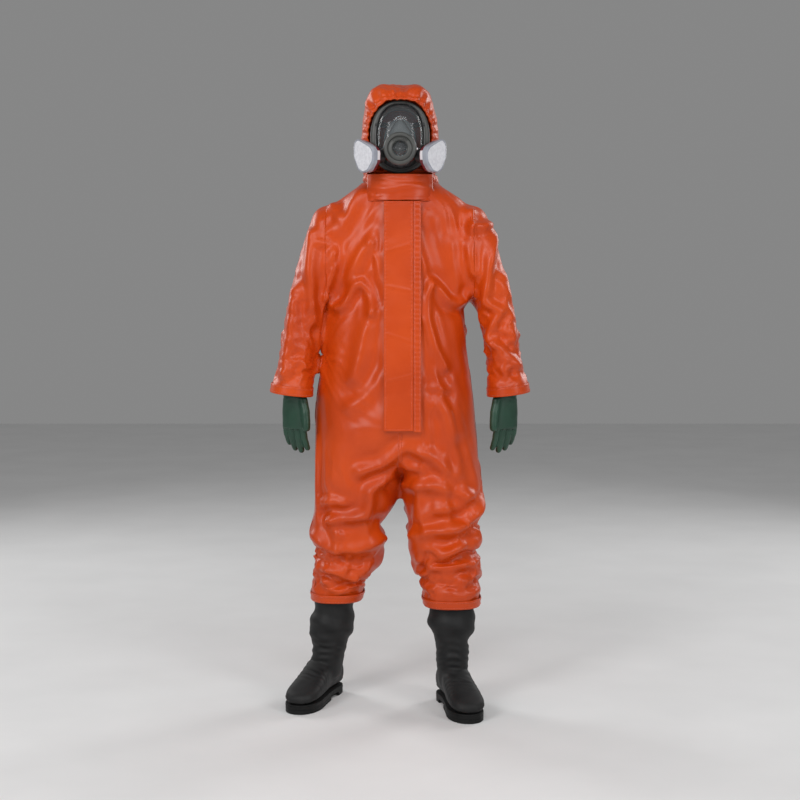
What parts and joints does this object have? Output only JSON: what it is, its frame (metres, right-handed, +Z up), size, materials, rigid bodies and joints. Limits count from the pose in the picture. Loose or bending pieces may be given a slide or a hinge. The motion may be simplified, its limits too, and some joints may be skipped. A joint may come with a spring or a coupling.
{
  "type": "chemical protective suit",
  "caption": "Chemical protective coverall with hood, storm flap over a zip, gloves, rubber boots and a full-face respirator with side filters, standing as if worn.",
  "frame": {"origin": "on the floor, under the middle of the whole object", "axes": "+Z up; the suit faces -Y; +X is towards the wearer's left hand"},
  "size_m": [0.756, 0.3812, 1.8],
  "materials": {
    "coated_fabric": "glossy coated fabric, orange",
    "lining": "dark green lining",
    "glove_rubber": "smooth green rubber, satin",
    "boot_rubber": "matt black rubber",
    "sole_rubber": "matt black rubber",
    "grey_rubber": "satin grey rubber",
    "dark_plastic": "satin dark grey",
    "filter_white": "off-white",
    "cartridge_maroon": "maroon, gloss",
    "clear": "clear, gloss",
    "metal": "satin metal",
    "webbing": "woven black webbing"
  },
  "bodies": {
    "suit": {"front_panel_left": "coated_fabric", "front_panel_right": "coated_fabric", "back_panel": "coated_fabric", "trouser_leg_left": "coated_fabric", "trouser_leg_right": "coated_fabric", "trouser_hem_left": "coated_fabric", "trouser_hem_right": "coated_fabric", "collar": "coated_fabric", "zip_chain_left": "dark_plastic", "zip_chain_right": "dark_plastic", "zip_bottom_stop": "dark_plastic", "flap_base_strip": "coated_fabric", "flap_loop_strip": "webbing"},
    "chin": {"chin_flap": "coated_fabric"},
    "hood": {"hood": "coated_fabric", "hood_elastic": "coated_fabric"},
    "flap": {"storm_flap": "coated_fabric", "flap_hook_strip": "webbing"},
    "slider": {"zip_slider": "metal"},
    "mask": {"mask_lens": "clear", "mask_lens_frame": "dark_plastic", "mask_face_seal": "grey_rubber", "mask_nose_cup": "grey_rubber", "valve_housing": "grey_rubber", "exhalation_valve_cover": "dark_plastic", "exhalation_valve_seat": "dark_plastic", "inhalation_port_left": "dark_plastic", "inhalation_port_right": "dark_plastic", "head_harness": "webbing", "upper_buckle_left": "metal", "upper_buckle_right": "metal", "lower_buckle_left": "metal", "lower_buckle_right": "metal"},
    "exhalation_flap": {"exhalation_valve_flap": "clear"},
    "arm_left": {"sleeve_left": "coated_fabric", "sleeve_hem_left": "coated_fabric", "inner_cuff_left": "lining"},
    "hand_left": {"glove_left": "glove_rubber"},
    "boot_left": {"boot_upper_left": "boot_rubber", "boot_sole_left": "sole_rubber", "boot_insole_left": "grey_rubber"},
    "filter_left": {"cartridge_left": "cartridge_maroon"},
    "retainer_left": {"filter_pad_left": "filter_white", "filter_retainer_left": "filter_white"},
    "inhalation_flap_left": {"inhalation_valve_left": "clear"},
    "arm_right": {"sleeve_right": "coated_fabric", "sleeve_hem_right": "coated_fabric", "inner_cuff_right": "lining"},
    "hand_right": {"glove_right": "glove_rubber"},
    "boot_right": {"boot_upper_right": "boot_rubber", "boot_sole_right": "sole_rubber", "boot_insole_right": "grey_rubber"},
    "filter_right": {"cartridge_right": "cartridge_maroon"},
    "retainer_right": {"filter_pad_right": "filter_white", "filter_retainer_right": "filter_white"},
    "inhalation_flap_right": {"inhalation_valve_right": "clear"}
  },
  "joints": [
    {"name": "hood_tilt", "type": "hinge", "parent": "suit", "child": "hood", "pos_m": [0, 0.1586, 1.533], "axis": [-1, 0, 0], "range_deg": [0, 42]},
    {"name": "flap_open", "type": "hinge", "parent": "suit", "child": "flap", "pos_m": [0.0381, -0.09143, 1.1358], "axis": [0, 0.0665, 0.9978], "range_deg": [0, 160]},
    {"name": "zip_slide", "type": "slide", "parent": "suit", "child": "slider", "axis": [0, -0.0665, -0.9978], "range_m": [0, 0.57]},
    {"name": "chin_flap_open", "type": "hinge", "parent": "suit", "child": "chin", "pos_m": [-0.0955, -0.0114, 1.496], "axis": [0, 0, -1], "range_deg": [0, 75]},
    {"name": "mask_lift", "type": "slide", "parent": "suit", "child": "mask", "axis": [0, -1, 0], "range_m": [0, 0.18]},
    {"name": "exhalation_lift", "type": "slide", "parent": "mask", "child": "exhalation_flap", "axis": [0, -1, 0], "range_m": [0, 0.0012], "stiffness_N_per_m": 30},
    {"name": "arm_swing_left", "type": "hinge", "parent": "suit", "child": "arm_left", "pos_m": [0.2135, 0.0286, 1.385], "axis": [-1, 0, 0], "range_deg": [-30, 60]},
    {"name": "glove_pull_left", "type": "slide", "parent": "arm_left", "child": "hand_left", "axis": [0, 0, -1], "range_m": [0, 0.25]},
    {"name": "boot_pull_left", "type": "slide", "parent": "suit", "child": "boot_left", "axis": [0, 0, -1], "range_m": [0, 0.35]},
    {"name": "cartridge_twist_left", "type": "hinge", "parent": "mask", "child": "filter_left", "pos_m": [0.054, -0.0674, 1.584], "axis": [-0.7659, 0.6429, 0], "range_deg": [0, 90]},
    {"name": "retainer_pull_left", "type": "slide", "parent": "filter_left", "child": "retainer_left", "axis": [0.7659, -0.6429, 0], "range_m": [0, 0.03]},
    {"name": "inhalation_lift_left", "type": "slide", "parent": "mask", "child": "inhalation_flap_left", "axis": [-0.7659, 0.6429, 0], "range_m": [0, 0.0015], "stiffness_N_per_m": 30},
    {"name": "arm_swing_right", "type": "hinge", "parent": "suit", "child": "arm_right", "pos_m": [-0.2135, 0.0286, 1.385], "axis": [-1, 0, 0], "range_deg": [-30, 60]},
    {"name": "glove_pull_right", "type": "slide", "parent": "arm_right", "child": "hand_right", "axis": [0, 0, -1], "range_m": [0, 0.25]},
    {"name": "boot_pull_right", "type": "slide", "parent": "suit", "child": "boot_right", "axis": [0, 0, -1], "range_m": [0, 0.35]},
    {"name": "cartridge_twist_right", "type": "hinge", "parent": "mask", "child": "filter_right", "pos_m": [-0.054, -0.0674, 1.584], "axis": [-0.7659, -0.6429, 0], "range_deg": [0, 90]},
    {"name": "retainer_pull_right", "type": "slide", "parent": "filter_right", "child": "retainer_right", "axis": [-0.7659, -0.6429, 0], "range_m": [0, 0.03]},
    {"name": "inhalation_lift_right", "type": "slide", "parent": "mask", "child": "inhalation_flap_right", "axis": [0.7659, 0.6429, 0], "range_m": [0, 0.0015], "stiffness_N_per_m": 30}
  ]
}
